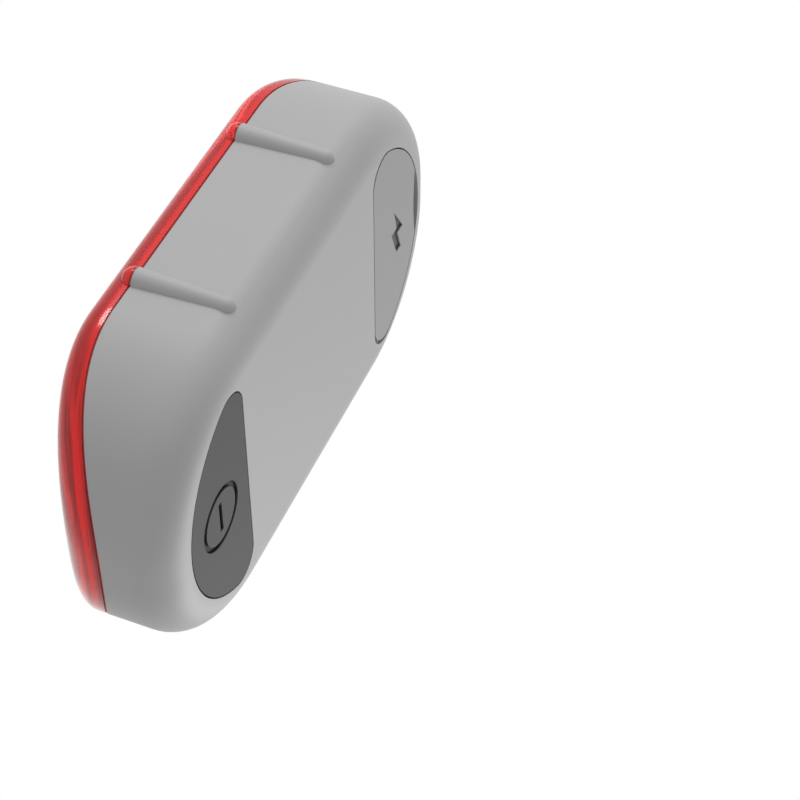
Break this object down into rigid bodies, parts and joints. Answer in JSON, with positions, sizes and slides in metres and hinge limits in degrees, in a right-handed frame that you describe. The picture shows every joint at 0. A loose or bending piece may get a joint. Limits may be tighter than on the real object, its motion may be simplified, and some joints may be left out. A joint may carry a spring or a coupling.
{
  "type": "bike rear light",
  "caption": "Rechargeable bicycle rear light: flat-backed grey housing with rounded ends, curved red lens, side grip ridges, press button and hinged charging-port cover.",
  "frame": {"origin": "centre of the flat back face of the housing, midway between the button and the port cover", "axes": "+Z along the long axis towards the charging-port cover, +Y out of the flat back, so the lens faces -Y; X across the width"},
  "size_m": [0.0406, 0.0168, 0.07],
  "materials": {
    "housing_grey": "fine matte moulded grey",
    "lens_red": "clear red polycarbonate, polished",
    "seal_dark_red": "flat dark red gasket",
    "button_dark_grey": "matte dark grey",
    "inner_black": "black moulding",
    "cover_grey": "matte mid grey",
    "board_green": "green solder mask",
    "board_white": "white solder mask",
    "chip_yellow": "light chip with phosphor",
    "panel_clear": "light panel",
    "cell_foil": "foil pouch",
    "foam_black": "foam tape",
    "lead_red": "insulated wire",
    "lead_black": "insulated wire",
    "connector_ivory": "small connector",
    "plated_steel": "plated sheet steel",
    "gold_contact": "gold plated",
    "plunger_white": "moulded",
    "screw_steel": "plated screw",
    "indicator_red": "clear casting",
    "chip_black": "moulded package",
    "component_tan": "ceramic components"
  },
  "bodies": {
    "body": {"rear_housing": "housing_grey", "front_lens": "lens_red", "lens_seal": "seal_dark_red", "button_retainer": "inner_black", "main_board": "board_green", "light_board": "board_white", "light_chips": "chip_yellow", "light_panel": "panel_clear", "light_frame": "inner_black", "battery_cell": "cell_foil", "battery_pad": "foam_black", "battery_lead_positive": "lead_red", "battery_lead_negative": "lead_black", "battery_plug": "connector_ivory", "battery_socket": "connector_ivory", "usb_shell": "plated_steel", "usb_tongue": "inner_black", "usb_contacts": "gold_contact", "switch_body": "inner_black", "switch_plate": "plated_steel", "board_screws": "screw_steel", "charge_indicator": "indicator_red", "control_chip": "chip_black", "power_inductor": "chip_black", "small_components": "component_tan", "link_header": "chip_black", "link_pins": "gold_contact"},
    "button": {"power_button": "button_dark_grey", "switch_plunger": "plunger_white"},
    "port_cover": {"charge_port_cover": "cover_grey"}
  },
  "joints": [
    {"name": "button_press", "type": "slide", "parent": "body", "child": "button", "axis": [0, -1, 0], "range_m": [0, 0.0006], "stiffness_N_per_m": 4000},
    {"name": "cover_hinge", "type": "hinge", "parent": "body", "child": "port_cover", "pos_m": [0, -0.00034, 0.01825], "axis": [-1, 0, 0], "range_deg": [0, 90], "stiffness_Nm_per_rad": 0.0005}
  ]
}
